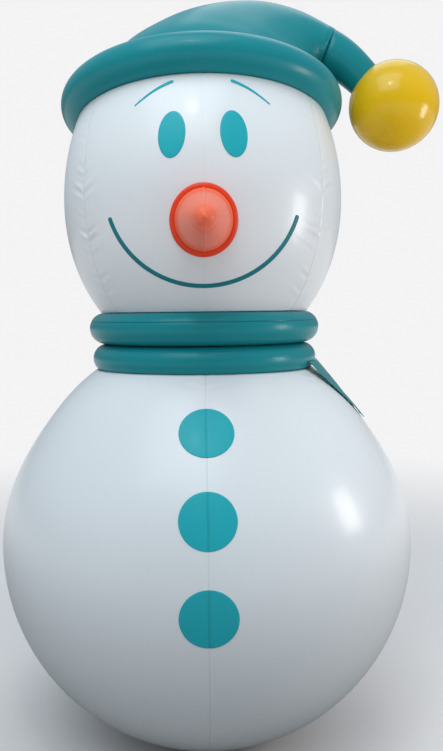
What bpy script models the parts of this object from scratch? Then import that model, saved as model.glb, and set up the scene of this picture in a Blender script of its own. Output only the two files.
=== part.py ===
"""Inflatable yard snowman: welded PVC air chambers, flat patches, water ballast and fittings.

Metres, +Z up. The origin is the centre of the flat base, on the ground. The face looks along -Y
and the hat's tail hangs towards +X. Azimuths are counted from the front (-Y) towards +X.
"""

import math

import bmesh
import bpy
from mathutils import Matrix, Vector

# Driving dimensions
GAP = 0.0003                            # clearance left between touching pieces
SKIN = 0.0006                           # thickness of the inflated chambers' film
PATCH = 0.0010                          # thickness of a welded patch
STRIP = 0.0012                          # thickness of the scarf's flat strips
PATCH_LIFT = 0.0010                     # a patch's inner face above the body's round surface
FACE_LIFT = 0.0030                      # the same on the leaned head, whose facets stand out more
SEGMENTS = 28                           # sides of every large round chamber
TUBE_SIDES = 8                          # sides of a ring's tube
CLEARANCE = 0.0020                      # room left around a tube where a chamber wraps it
CUTTER_LENGTH = 0.060

BODY_R = 0.750
SHOULDER_DIP = 0.021                    # the film is a little flatter over the shoulders
SHOULDER_LATITUDE = math.radians(35)
SHOULDER_SPREAD = math.radians(19)
BASE_HALF_ANGLE = math.radians(15)      # the flattened base, seen from the body's centre
PAD_THICKNESS = 0.0020
PAD_R = 0.190
BODY_BOTTOM = PAD_THICKNESS + GAP
BODY_Z = BODY_BOTTOM + BODY_R * math.cos(BASE_HALF_ANGLE)

LOWER_RING = {"radius": 0.3575, "tube": 0.0520, "z": 1.3980}
UPPER_RING = {"radius": 0.3644, "tube": 0.0560, "z": 1.5070}
NECK_R = LOWER_RING["radius"] - LOWER_RING["tube"] - CLEARANCE
NECK_JOINT_Z = 1.4500

HEAD_R = 0.501
HEAD_WIDEST_Z = 1.950
HEAD_RISE = 0.675                       # semi-height of the ellipse above the widest ring
HEAD_DROP = 0.589                       # semi-height of the ellipse below it

HAT_TILT = math.radians(9.45)           # the hat leans back
LEAN_PIVOT_Z = 1.997
LEAN_START_Z = 1.900
LEAN_FULL_Z = 2.200
BRIM = {"radius": 0.446, "tube": 0.066, "z": 2.301}
HAT_LINE_R = BRIM["radius"] - BRIM["tube"] - CLEARANCE

BUTTON_HALF_ANGLE = math.radians(6.7)
BUTTON_LATITUDES = {"button_top": 40.0, "button_middle": 18.4, "button_bottom": -3.2}

MATERIALS = {
    "white_vinyl": ((0.78, 0.81, 0.83), 0.28, 0.0),
    "teal_vinyl": ((0.02, 0.27, 0.32), 0.25, 0.0),
    "yellow_vinyl": ((0.66, 0.45, 0.03), 0.22, 0.0),
    "orange_vinyl": ((0.72, 0.13, 0.06), 0.35, 0.0),
    "grey_vinyl": ((0.25, 0.26, 0.28), 0.55, 0.0),
    "ballast_vinyl": ((0.10, 0.16, 0.24), 0.45, 0.0),
    "white_plastic": ((0.75, 0.75, 0.74), 0.40, 0.0),
    "webbing": ((0.05, 0.05, 0.06), 0.85, 0.0),
    "steel": ((0.62, 0.63, 0.65), 0.25, 1.0),
}


# Scene and object helpers

def clear_scene():
    for obj in list(bpy.data.objects):
        bpy.data.objects.remove(obj, do_unlink=True)


def add_collection(name):
    collection = bpy.data.collections.new(name)
    bpy.context.scene.collection.children.link(collection)
    return collection


def make_material(name):
    material = bpy.data.materials.get(name)
    if material is None:
        colour, roughness, metallic = MATERIALS[name]
        material = bpy.data.materials.new(name)
        material.use_nodes = True
        shader = material.node_tree.nodes["Principled BSDF"]
        shader.inputs["Base Color"].default_value = (*colour, 1.0)
        shader.inputs["Roughness"].default_value = roughness
        shader.inputs["Metallic"].default_value = metallic
    return material


def add_object(name, data, material, parent=None):
    obj = bpy.data.objects.new(name, data)
    data.materials.append(make_material(material))
    PARTS.objects.link(obj)
    obj.parent = parent
    return obj


def add_empty(name, matrix, parent=None):
    """A named frame whose matrix is given in its parent's frame, or in the world's."""
    empty = bpy.data.objects.new(name, None)
    empty.empty_display_size = 0.05
    PARTS.objects.link(empty)
    empty.parent = parent
    empty.matrix_local = matrix
    return empty


def smooth(mesh):
    mesh.shade_smooth()
    mesh.set_sharp_from_angle(angle=math.radians(40))


def loft(name, rows, material, wrap=True, parent=None):
    """An open skin through rows of points; a row of one point closes the skin with a fan.

    Faces look out when each row runs counter-clockwise about the direction of travel.
    """
    shape = bmesh.new()
    lines = [[shape.verts.new(point) for point in row] for row in rows]
    for first, second in zip(lines, lines[1:]):
        count = max(len(first), len(second))
        for i in range(count if wrap else count - 1):
            j = (i + 1) % count
            if len(first) == 1:
                shape.faces.new((first[0], second[j], second[i]))
            elif len(second) == 1:
                shape.faces.new((first[i], first[j], second[0]))
            else:
                shape.faces.new((first[i], first[j], second[j], second[i]))
    mesh = bpy.data.meshes.new(name)
    shape.to_mesh(mesh)
    shape.free()
    smooth(mesh)
    return add_object(name, mesh, material, parent)


def turned(name, profile, material, closed=False, segments=SEGMENTS, parent=None):
    """A profile of (radius, height) points turned about Z; it runs down its outer side."""
    count = len(profile)
    edges = [(i, i + 1) for i in range(count - 1)]
    if closed:
        edges.append((count - 1, 0))
    mesh = bpy.data.meshes.new(name)
    mesh.from_pydata([(radius, 0.0, height) for radius, height in profile], edges, [])
    obj = add_object(name, mesh, material, parent)
    turn = obj.modifiers.new("Turn", "SCREW")
    turn.steps = segments
    turn.render_steps = segments
    turn.use_merge_vertices = True
    turn.merge_threshold = 0.00005
    turn.use_smooth_shade = True
    return obj


def apply_modifiers(obj):
    """Swap the object's mesh for its evaluated shape, so that its points can be moved."""
    evaluated = obj.evaluated_get(bpy.context.evaluated_depsgraph_get())
    mesh = bpy.data.meshes.new_from_object(evaluated)
    obj.modifiers.clear()
    obj.data = mesh
    smooth(mesh)


def thicken(obj, thickness=SKIN, outward=False):
    """Give an open skin its film thickness, inward unless it lies on another surface."""
    film = obj.modifiers.new("Film", "SOLIDIFY")
    film.thickness = thickness
    film.offset = 1.0 if outward else -1.0
    film.use_even_offset = True
    return obj


def open_port(obj, point):
    """Leave out the facet nearest to a point: the hole that lets air through to the next chamber."""
    shape = bmesh.new()
    shape.from_mesh(obj.data)
    nearest = min(shape.faces, key=lambda face: (face.calc_center_median() - Vector(point)).length)
    bmesh.ops.delete(shape, geom=[nearest], context="FACES_ONLY")
    shape.to_mesh(obj.data)
    shape.free()


def cut_hole(obj, matrix, radius):
    """Cut a round hole through a film, along the matrix's Z axis."""
    bpy.ops.mesh.primitive_cylinder_add(vertices=24, radius=radius, depth=CUTTER_LENGTH)
    cutter = bpy.context.object
    cutter.name = obj.name + "_cutter"
    for collection in list(cutter.users_collection):
        collection.objects.unlink(cutter)
    CUTTERS.objects.link(cutter)
    cutter.matrix_world = matrix
    cutter.hide_render = True
    cutter.display_type = "WIRE"
    hole = obj.modifiers.new("Hole", "BOOLEAN")
    hole.operation = "DIFFERENCE"
    hole.object = cutter


def circle_row(centre, across, along, radius, count=SEGMENTS):
    """Points of a circle, turning from the first direction towards the second."""
    angles = [2 * math.pi * i / count for i in range(count)]
    return [centre + across * radius * math.cos(a) + along * radius * math.sin(a) for a in angles]


def arc_points(ring, clearance, first, last, steps):
    """Profile points around a ring's tube, from one angle to another in degrees."""
    reach = ring["tube"] + clearance
    points = []
    for i in range(steps + 1):
        angle = math.radians(first + (last - first) * i / steps)
        points.append((ring["radius"] + reach * math.cos(angle), ring["z"] + reach * math.sin(angle)))
    return points


def angle_where(ring, clearance, start, step, inside):
    """The angle around a ring's tube at which its wrapped profile leaves a chamber's shape."""
    angle = start
    while inside(*arc_points(ring, clearance, angle, angle, 1)[0]):
        angle += step
    return angle


def sphere_frame(azimuth, latitude, radius=BODY_R):
    """A frame on the body's round surface: X level, Y up along the surface, Z outward."""
    a, b = math.radians(azimuth), math.radians(latitude)
    outward = Vector((math.sin(a) * math.cos(b), -math.cos(a) * math.cos(b), math.sin(b)))
    upward = Vector((-math.sin(a) * math.sin(b), math.cos(a) * math.sin(b), math.cos(b)))
    level = upward.cross(outward)
    matrix = Matrix((level, upward, outward)).transposed().to_4x4()
    matrix.translation = Vector((0.0, 0.0, BODY_Z)) + outward * radius
    return matrix


# Body

def body_radius(latitude):
    """The round body, slightly flatter over its shoulders."""
    return BODY_R - SHOULDER_DIP * math.exp(-((latitude - SHOULDER_LATITUDE) / SHOULDER_SPREAD) ** 2)


def inside_body(radius, height):
    latitude = math.atan2(height - BODY_Z, radius)
    return math.hypot(radius, height - BODY_Z) < body_radius(latitude)


def build_body():
    """The round body, open at the neck, with a groove that the lower scarf ring sits in."""
    leave = angle_where(LOWER_RING, CLEARANCE, 270.0, 0.5, inside_body)
    profile = [(NECK_R, NECK_JOINT_Z - GAP)]
    profile += arc_points(LOWER_RING, CLEARANCE, 180.0, leave, 6)
    first = math.atan2(profile[-1][1] - BODY_Z, profile[-1][0])
    last = BASE_HALF_ANGLE - math.pi / 2
    steps = 13
    for i in range(1, steps + 1):
        latitude = first + (last - first) * i / steps
        reach = body_radius(latitude)
        profile.append((reach * math.cos(latitude), BODY_Z + reach * math.sin(latitude)))
    profile.append((0.0, BODY_BOTTOM))
    body = turned("body_envelope", profile, "white_vinyl")
    thicken(body)
    cut_hole(body, AIR_VALVE_FRAME, AIR_HOLE_R)
    cut_hole(body, BALLAST_FRAME, BALLAST_HOLE_R)


def build_base_pad():
    bpy.ops.mesh.primitive_cylinder_add(vertices=SEGMENTS, radius=PAD_R, depth=PAD_THICKNESS)
    take_primitive("base_pad", "grey_vinyl", Matrix.Translation((0.0, 0.0, PAD_THICKNESS / 2)))


def take_primitive(name, material, matrix, parent=None):
    """Name the primitive that was just added, give it a material and put it in its place."""
    obj = bpy.context.object
    for collection in list(obj.users_collection):
        collection.objects.unlink(obj)
    PARTS.objects.link(obj)
    obj.name = name
    obj.data.name = name
    obj.data.materials.append(make_material(material))
    obj.parent = parent
    obj.matrix_local = matrix
    smooth(obj.data)
    return obj


def build_button(name, latitude):
    """A round patch that follows the body's curve."""
    reach = BODY_R + PATCH_LIFT
    steps = 3
    angles = [BUTTON_HALF_ANGLE * i / steps for i in range(steps + 1)]
    profile = [(reach * math.sin(a), reach * math.cos(a)) for a in angles]
    button = turned(name, profile, "teal_vinyl", segments=20)
    button.location = (0.0, 0.0, BODY_Z)
    button.rotation_euler = (math.radians(90 - latitude), 0.0, 0.0)
    thicken(button, PATCH, outward=True)
    bpy.context.view_layer.update()
    apply_modifiers(button)
    settle_on_shoulder(button)


def settle_on_shoulder(patch):
    """Move a patch's points in from the round shape by as much as the shoulder is flatter there."""
    turn = patch.matrix_world.to_3x3()
    for vertex in patch.data.vertices:
        direction = (turn @ vertex.co).normalized()
        vertex.co *= 1.0 - (BODY_R - body_radius(math.asin(direction.z))) / vertex.co.length


# Scarf

def build_ring(name, ring, material, parent=None, port_angle=90.0):
    """An inflated tube bent into a ring, with an air port on its inner side."""
    bpy.ops.mesh.primitive_torus_add(
        major_segments=SEGMENTS,
        minor_segments=TUBE_SIDES,
        major_radius=ring["radius"],
        minor_radius=ring["tube"],
    )
    height = 0.0 if parent else ring["z"]
    tube = take_primitive(name, material, Matrix.Translation((0.0, 0.0, height)), parent)
    inner = ring["radius"] - ring["tube"]
    turn = math.radians(port_angle)
    open_port(tube, (inner * math.cos(turn), inner * math.sin(turn), 0.0))
    thicken(tube)


SCARF_TAIL_TOP = {"radius": 0.4120, "z": 1.3860}
SCARF_TAIL_WIDTH = 0.100
SCARF_TAIL_SLANT = math.radians(18)     # how far a strip turns to the rear on its way down
SCARF_TAILS = {
    "scarf_tail_front": {"azimuth": 68.0, "end": 52.5, "stand": 0.0050},
    "scarf_tail_rear": {"azimuth": 85.0, "end": 56.0, "stand": 0.0050},
}


def build_scarf_tail(name, azimuth, end, stand):
    """A flat strip from the lower ring over the body's shoulder, hinged at its top edge.

    It leaves the ring some way above the body and settles down to its stand-off at mid-length.
    The angle of its free end is counted from the body's top.
    """
    turn = math.radians(azimuth)
    outward = Vector((math.sin(turn), -math.cos(turn), 0.0))
    level = Vector((0.0, 0.0, 1.0)).cross(outward)
    frame = Matrix((level, outward, Vector((0.0, 0.0, 1.0)))).transposed().to_4x4()
    frame.translation = outward * SCARF_TAIL_TOP["radius"] + Vector((0.0, 0.0, SCARF_TAIL_TOP["z"]))
    to_hinge = frame.inverted()
    hinge = add_empty(name + "_hinge", frame)
    rise = SCARF_TAIL_TOP["z"] - BODY_Z
    first = math.atan2(SCARF_TAIL_TOP["radius"], rise)
    lift = math.hypot(SCARF_TAIL_TOP["radius"], rise) - body_radius(math.pi / 2 - first)
    rows = []
    steps = 7
    for i in range(steps + 1):
        share = i / steps
        polar = first + (math.radians(end) - first) * share
        fall = min(1.0, 1.6 * share)
        reach = body_radius(math.pi / 2 - polar) + lift + (stand - lift) * fall * (2 - fall)
        row = []
        for k in (-0.5, -0.25, 0.0, 0.25, 0.5):
            side = turn + SCARF_TAIL_SLANT * share + k * SCARF_TAIL_WIDTH / (reach * math.sin(polar))
            flat = Vector((math.sin(side), -math.cos(side), 0.0)) * math.sin(polar)
            point = (flat + Vector((0.0, 0.0, math.cos(polar)))) * reach + Vector((0.0, 0.0, BODY_Z))
            row.append(to_hinge @ point)
        rows.append(row)
    thicken(loft(name, rows, "teal_vinyl", wrap=False, parent=hinge), STRIP, outward=True)


# Head

def head_radius(height):
    """Radius of the upright head's round section."""
    reach = HEAD_RISE if height > HEAD_WIDEST_Z else HEAD_DROP
    return HEAD_R * math.sqrt(max(0.0, 1.0 - ((height - HEAD_WIDEST_Z) / reach) ** 2))


def inside_head(radius, height):
    return radius < head_radius(height)


def lean(point):
    """Tip a point of the upright head back, from nothing at the cheeks to the hat's tilt at the hat."""
    share = min(1.0, max(0.0, (point.z - LEAN_START_Z) / (LEAN_FULL_Z - LEAN_START_Z)))
    share = share * share * (3 - 2 * share)
    pivot = Vector((0.0, 0.0, LEAN_PIVOT_Z))
    return pivot + Matrix.Rotation(-HAT_TILT * share, 3, "X") @ (point - pivot)


def face_point(x, z, lift=0.0):
    """The point of the leaned head's front that has this x and z, pushed out by a lift."""
    upright_z = z
    for _ in range(30):
        front = Vector((x, -math.sqrt(head_radius(upright_z) ** 2 - x ** 2), upright_z))
        upright_z += 0.7 * (z - lean(front).z)
    radius = head_radius(upright_z)
    step = 0.001
    slope = (head_radius(upright_z + step) - head_radius(upright_z - step)) / (2 * step)
    normal = Vector((front.x, front.y, -slope * radius)).normalized()
    return lean(front + normal * lift)


def build_head():
    """The head, open at the neck and at the hat line, with grooves for the upper ring and the brim."""
    under_brim = angle_where(BRIM, CLEARANCE, 200.0, 0.5, inside_head)
    over_ring = angle_where(UPPER_RING, CLEARANCE, 150.0, -0.5, inside_head)
    profile = [(HAT_LINE_R, BRIM["z"] - GAP)]
    profile += arc_points(BRIM, CLEARANCE, 180.0, under_brim, 4)[1:]
    top = profile[-1][1]
    bottom = arc_points(UPPER_RING, CLEARANCE, over_ring, over_ring, 1)[0][1]
    steps = 10
    for i in range(1, steps):
        height = top + (bottom - top) * i / steps
        profile.append((head_radius(height), height))
    profile += arc_points(UPPER_RING, CLEARANCE, over_ring, 180.0, 4)
    profile[-1] = (NECK_R, UPPER_RING["z"])
    profile.append((NECK_R, NECK_JOINT_Z + GAP))
    head = turned("head_envelope", profile, "white_vinyl")
    apply_modifiers(head)
    for vertex in head.data.vertices:
        vertex.co = lean(vertex.co)
    open_port(head, face_point(0.0, NOSE_Z))
    thicken(head)


# Face

NOSE_Z = 1.843
NOSE_WIDTH = 0.105                      # half the base's width
NOSE_HEIGHT = 0.116                     # half the base's height
NOSE_LENGTH = 0.330
NOSE_LIFT = 0.002
NOSE_DROOP = 0.028
NOSE_SETTLED = 0.30                     # share of the length by which its sections are flat
NOSE_PROFILE = [(1.00, 0.0), (0.93, 0.10), (0.80, 0.30), (0.62, 0.55), (0.42, 0.78), (0.24, 0.93)]
EYE_X = 0.095
EYE_Z = 2.104
EYE_HALF = (0.042, 0.0735)
EYE_LEAN = 0.0050
MOUTH_RADIUS = 0.313
MOUTH_Z = 1.957
MOUTH_HALF_ANGLE = math.radians(73)
MOUTH_WIDTH = 0.013
BROW_INNER = (0.089, 2.280)
BROW_OUTER = (0.212, 2.208)
BROW_ARCH = 0.008
BROW_WIDTHS = (0.011, 0.005)


def build_nose():
    """A long cone whose open base follows the head, pointing forward and drooping slightly."""
    rows = []
    count = 16
    root_y = face_point(0.0, NOSE_Z).y
    for share, along in NOSE_PROFILE:
        row = []
        for i in range(count):
            angle = 2 * math.pi * i / count
            x = -NOSE_WIDTH * share * math.cos(angle)
            z = NOSE_Z + NOSE_HEIGHT * share * math.sin(angle)
            base = (-NOSE_WIDTH * math.cos(angle), NOSE_Z + NOSE_HEIGHT * math.sin(angle))
            seat = face_point(*base, NOSE_LIFT)
            front = root_y - NOSE_LENGTH * along
            blend = min(1.0, along / NOSE_SETTLED)
            row.append(Vector((x, seat.y * (1 - blend) + front * blend, z - NOSE_DROOP * along)))
        rows.append(row)
    rows.append([Vector((0.0, root_y - NOSE_LENGTH, NOSE_Z - NOSE_DROOP))])
    thicken(loft("nose_cone", rows, "orange_vinyl"))


def build_eye(name, side):
    """An upright oval patch whose top leans towards the middle of the face."""
    rows = [[face_point(side * EYE_X, EYE_Z, FACE_LIFT)]]
    count = 20
    for share in (0.35, 0.70, 1.0):
        row = []
        for i in range(count):
            angle = 2 * math.pi * i / count
            rise = EYE_HALF[1] * share * math.sin(angle)
            lean_in = side * EYE_LEAN * rise / EYE_HALF[1]
            x = side * EYE_X + EYE_HALF[0] * share * math.cos(angle) - lean_in
            row.append(face_point(x, EYE_Z + rise, FACE_LIFT))
        rows.append(row)
    thicken(loft(name, rows, "teal_vinyl"), PATCH, outward=True)


def stroke(name, centre_line, widths):
    """A flat painted-on stroke: a strip of patch film along a line of (x, z) points."""
    rows = []
    for i, (x, z) in enumerate(centre_line):
        before = Vector(centre_line[max(0, i - 1)])
        after = Vector(centre_line[min(len(centre_line) - 1, i + 1)])
        along = (after - before).normalized()
        side = Vector((-along.y, along.x)) * widths[i] / 2
        rows.append([face_point(x + side.x * k, z + side.y * k, FACE_LIFT) for k in (1, -1)])
    thicken(loft(name, rows, "teal_vinyl", wrap=False), PATCH, outward=True)


def build_mouth():
    steps = 24
    line = []
    widths = []
    for i in range(steps + 1):
        share = 2 * i / steps - 1
        angle = share * MOUTH_HALF_ANGLE
        line.append((MOUTH_RADIUS * math.sin(angle), MOUTH_Z - MOUTH_RADIUS * math.cos(angle)))
        widths.append(MOUTH_WIDTH * (1.0 if abs(share) < 0.98 else 0.5))
    stroke("mouth", line, widths)


def build_brow(name, side):
    steps = 8
    line = []
    widths = []
    for i in range(steps + 1):
        share = i / steps
        x = BROW_INNER[0] + (BROW_OUTER[0] - BROW_INNER[0]) * share
        z = BROW_INNER[1] + (BROW_OUTER[1] - BROW_INNER[1]) * share
        line.append((side * x, z + BROW_ARCH * math.sin(math.pi * share)))
        widths.append(BROW_WIDTHS[0] + (BROW_WIDTHS[1] - BROW_WIDTHS[0]) * share)
    if side < 0:
        line.reverse()
        widths.reverse()
    stroke(name, line, widths)


# Hat, in its own tilted frame: Z up the hat, origin at the brim's centre

CROWN_OUTER = [
    (-0.378, 0.000), (-0.376, 0.060), (-0.352, 0.130), (-0.308, 0.190), (-0.230, 0.252),
    (-0.100, 0.328), (0.055, 0.380), (0.210, 0.397), (0.360, 0.372), (0.490, 0.312),
]
CROWN_INNER = [
    (0.378, 0.000), (0.378, 0.020), (0.380, 0.040), (0.383, 0.058), (0.388, 0.075),
    (0.393, 0.092), (0.399, 0.107), (0.406, 0.121), (0.414, 0.134), (0.424, 0.148),
]
CREASE = Vector((0.4645, 0.0, 0.2270))
CREASE_R = 0.087
CREASE_SLOPE = math.radians(22)
CREASE_ROOM = 0.008                     # room to bend, on each side of the hinge
TAIL_END_R = 0.065
TAIL_END_SLOPE = math.radians(43)
TAIL_BULGE = 0.014                      # how far the tail bows up at mid-length
TAIL_SEGMENTS = 20
POMPOM = Vector((0.712, 0.0, 0.016))
POMPOM_R = 0.1630
POMPOM_GAP = 0.001                      # between the tail's open end and the ball
HAT_ACROSS = Vector((0.0, 1.0, 0.0))


def slope_direction(slope):
    """Direction in the hat's XZ plane, falling towards +X."""
    return Vector((math.cos(slope), 0.0, -math.sin(slope)))


def build_crown():
    """The crown: rings that fan round from the hat line to the crease, closed by a flat end."""
    rows = []
    for (outer_x, outer_z), (inner_x, inner_z) in zip(CROWN_OUTER, CROWN_INNER):
        outer = Vector((outer_x, 0.0, outer_z + GAP))
        inner = Vector((inner_x, 0.0, inner_z + GAP))
        across = (inner - outer) / 2
        rows.append(circle_row((outer + inner) / 2, across.normalized(), HAT_ACROSS, across.length))
    end = CREASE - slope_direction(CREASE_SLOPE) * CREASE_ROOM
    side = ring_side(CREASE_SLOPE)
    rows.append(circle_row(end, side, HAT_ACROSS, CREASE_R))
    rows.append(circle_row(end, side, HAT_ACROSS, CREASE_R * 0.5))
    rows.append([end])
    thicken(loft("hat_crown", rows, "teal_vinyl", parent=HAT))


def build_tail(hinge):
    """The tapered tail from the crease to the pompom, open where the pompom's air comes in."""
    end = POMPOM - CREASE
    meet = math.sqrt(POMPOM_R ** 2 - TAIL_END_R ** 2) + POMPOM_GAP
    start = slope_direction(CREASE_SLOPE) * CREASE_ROOM
    finish = end - slope_direction(TAIL_END_SLOPE) * meet
    rows = [[start], circle_row(start, ring_side(CREASE_SLOPE), HAT_ACROSS, CREASE_R * 0.5, TAIL_SEGMENTS)]
    steps = 5
    for i in range(steps + 1):
        share = i / steps
        slope = CREASE_SLOPE + (TAIL_END_SLOPE - CREASE_SLOPE) * share
        centre = start.lerp(finish, share) + Vector((0.0, 0.0, TAIL_BULGE)) * math.sin(math.pi * share)
        radius = CREASE_R + (TAIL_END_R - CREASE_R) * share
        rows.append(circle_row(centre, ring_side(slope), HAT_ACROSS, radius, TAIL_SEGMENTS))
    thicken(loft("hat_tail", rows, "teal_vinyl", parent=hinge))


def ring_side(slope):
    """The downward direction in a tail ring whose axis falls at this slope."""
    return Vector((-math.sin(slope), 0.0, -math.cos(slope)))


def build_pompom(hinge):
    """A ball whose pole faces the tail's end; the pole is open there."""
    bpy.ops.mesh.primitive_uv_sphere_add(segments=16, ring_count=10, radius=POMPOM_R)
    turn = Matrix.Rotation(TAIL_END_SLOPE - math.pi / 2, 4, "Y")
    place = Matrix.Translation(POMPOM - CREASE) @ turn
    ball = take_primitive("hat_pompom", "yellow_vinyl", place, hinge)
    shape = bmesh.new()
    shape.from_mesh(ball.data)
    pole = max(shape.verts, key=lambda vertex: vertex.co.z)
    bmesh.ops.delete(shape, geom=[pole], context="VERTS")
    shape.to_mesh(ball.data)
    shape.free()
    thicken(ball)


def build_hat():
    build_ring("hat_brim", BRIM, "teal_vinyl", parent=HAT)
    build_crown()
    hinge = add_empty("hat_tail_hinge", Matrix.Translation(CREASE), HAT)
    build_tail(hinge)
    build_pompom(hinge)


# Air valve and ballast fittings, each in a frame on the body with Z outward

AIR_VALVE_FRAME = sphere_frame(180.0, -28.0)
AIR_HOLE_R = 0.0200
SPRING = {"wire": 0.0006, "radius": 0.0068, "low": -0.0122, "high": 0.0033, "turns": 4}
BALLAST_FRAME = sphere_frame(180.0, -58.0)
BALLAST_HOLE_R = 0.0170
BALLAST_TUBE_TOP = 0.0180               # the tube's top end, inside the body's skin
BALLAST_TUBE_END = Vector((0.0, 0.2655, 0.070))
BALLAST_TUBE_R = 0.0120
BALLAST_TUBE_BEND = 0.060


def build_air_valve():
    """A push-pin valve: flange, inner nut, spring-closed poppet and screw cap."""
    seat = add_empty("air_valve_frame", AIR_VALVE_FRAME)
    flange = [
        (0.0130, 0.0120), (0.0180, 0.0120), (0.0180, 0.0040), (0.0400, 0.0040), (0.0400, 0.0010),
        (0.0190, 0.0010), (0.0190, -0.0160), (0.0050, -0.0160), (0.0050, -0.0130), (0.0130, -0.0130),
    ]
    turned("valve_flange", flange, "white_plastic", closed=True, segments=24, parent=seat)
    nut = [(0.0193, -0.0105), (0.0310, -0.0105), (0.0310, -0.0140), (0.0193, -0.0140)]
    turned("valve_nut", nut, "white_plastic", closed=True, segments=24, parent=seat)
    poppet = [
        (0.0, 0.0065), (0.0085, 0.0065), (0.0085, 0.0040), (0.0030, 0.0040), (0.0030, -0.0163),
        (0.0100, -0.0163), (0.0100, -0.0190), (0.0, -0.0190),
    ]
    turned("valve_poppet", poppet, "grey_vinyl", segments=16, parent=seat)
    build_valve_spring(seat)
    cap = [
        (0.0, 0.0190), (0.0225, 0.0190), (0.0235, 0.0175), (0.0235, 0.0046), (0.0184, 0.0046),
        (0.0184, 0.0130), (0.0, 0.0130),
    ]
    turned("valve_cap", cap, "white_plastic", segments=24, parent=seat)


def build_valve_spring(seat):
    curve = bpy.data.curves.new("valve_spring", "CURVE")
    curve.dimensions = "3D"
    curve.bevel_depth = SPRING["wire"]
    curve.bevel_resolution = 1
    curve.use_fill_caps = True
    points_per_turn = 8
    steps = SPRING["turns"] * points_per_turn
    spline = curve.splines.new("POLY")
    spline.points.add(steps)
    for i, point in enumerate(spline.points):
        angle = 2 * math.pi * i / points_per_turn
        height = SPRING["low"] + (SPRING["high"] - SPRING["low"]) * i / steps
        point.co = (SPRING["radius"] * math.cos(angle), SPRING["radius"] * math.sin(angle), height, 1.0)
    add_object("valve_spring", curve, "steel", seat)


def build_ballast():
    """The water bag in the base, its filling port low on the back, and the tube between them."""
    bag = [
        (0.0, 0.135), (0.110, 0.131), (0.190, 0.117), (0.245, 0.095), (0.262, 0.070),
        (0.250, 0.040), (0.215, 0.016), (0.175, 0.006), (0.0, 0.006),
    ]
    turned("ballast_bag", bag, "ballast_vinyl", segments=24)
    seat = add_empty("ballast_port_frame", BALLAST_FRAME)
    port = [
        (0.0110, 0.0100), (0.0160, 0.0100), (0.0160, 0.0040), (0.0320, 0.0040), (0.0320, 0.0010),
        (0.0160, 0.0010), (0.0160, -0.0160), (0.0110, -0.0160),
    ]
    turned("ballast_port", port, "white_plastic", closed=True, segments=24, parent=seat)
    cap = [
        (0.0, 0.0150), (0.0200, 0.0150), (0.0210, 0.0135), (0.0210, 0.0046), (0.0164, 0.0046),
        (0.0164, 0.0108), (0.0, 0.0108),
    ]
    turned("ballast_cap", cap, "white_plastic", segments=24, parent=seat)
    build_ballast_tube()


def build_ballast_tube():
    """A bent tube that leaves the port square to the skin and meets the bag level."""
    outward = BALLAST_FRAME.col[2].to_3d()
    forward = Vector((0.0, -1.0, 0.0))
    across = Vector((1.0, 0.0, 0.0))
    start = BALLAST_FRAME.translation - outward * BALLAST_TUBE_TOP
    rows = []
    steps = 5
    for i in range(steps + 1):
        share = i / steps
        direction = (-outward).lerp(forward, share).normalized()
        from_port = start - outward * BALLAST_TUBE_BEND * share
        to_bag = BALLAST_TUBE_END - forward * BALLAST_TUBE_BEND * (1 - share)
        centre = from_port.lerp(to_bag, share)
        rows.append(circle_row(centre, across, direction.cross(across), BALLAST_TUBE_R, 12))
    thicken(loft("ballast_tube", rows, "ballast_vinyl"), 0.0010)


# Tie-downs

TIE_DOWNS = {"right_front": 110.0, "right_rear": 155.0, "left_rear": 205.0, "left_front": 250.0}
TIE_LATITUDE = -13.0
TIE_PATCH_R = 0.050
TIE_PATCH = 0.0015                      # thickness of the patch
BAR_HALF = 0.0165                       # half of the ring's straight bar
LEG = 0.0080                            # straight legs between the bar and the bow
WIRE_R = 0.0025
LOOP_WIDTH = 0.025
LOOP_OUTER = 0.0065                     # the loop's outside and inside radii round the bar
LOOP_INNER = 0.0032
LOOP_LENGTH = 0.034
LOOP_BASE = PATCH_LIFT + TIE_PATCH + GAP


def build_tie_down(place, azimuth):
    """A welded patch, a webbing loop on it and a steel D-ring that swings in the loop."""
    reach = BODY_R + PATCH_LIFT
    steps = 2
    half_angle = TIE_PATCH_R / BODY_R
    profile = [
        (reach * math.sin(half_angle * i / steps), reach * math.cos(half_angle * i / steps) - BODY_R)
        for i in range(steps + 1)
    ]
    seat = add_empty("tie_frame_" + place, sphere_frame(azimuth, TIE_LATITUDE))
    patch = turned("tie_patch_" + place, profile, "white_vinyl", segments=20, parent=seat)
    thicken(patch, TIE_PATCH, outward=True)
    build_tie_loop(place, seat)
    bar = Vector((0.0, 0.0, LOOP_BASE + LOOP_OUTER))
    hang = Matrix.Rotation(math.radians(TIE_LATITUDE), 4, "X")
    hinge = add_empty("tie_hinge_" + place, Matrix.Translation(bar) @ hang, seat)
    build_tie_ring(place, hinge)


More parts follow.
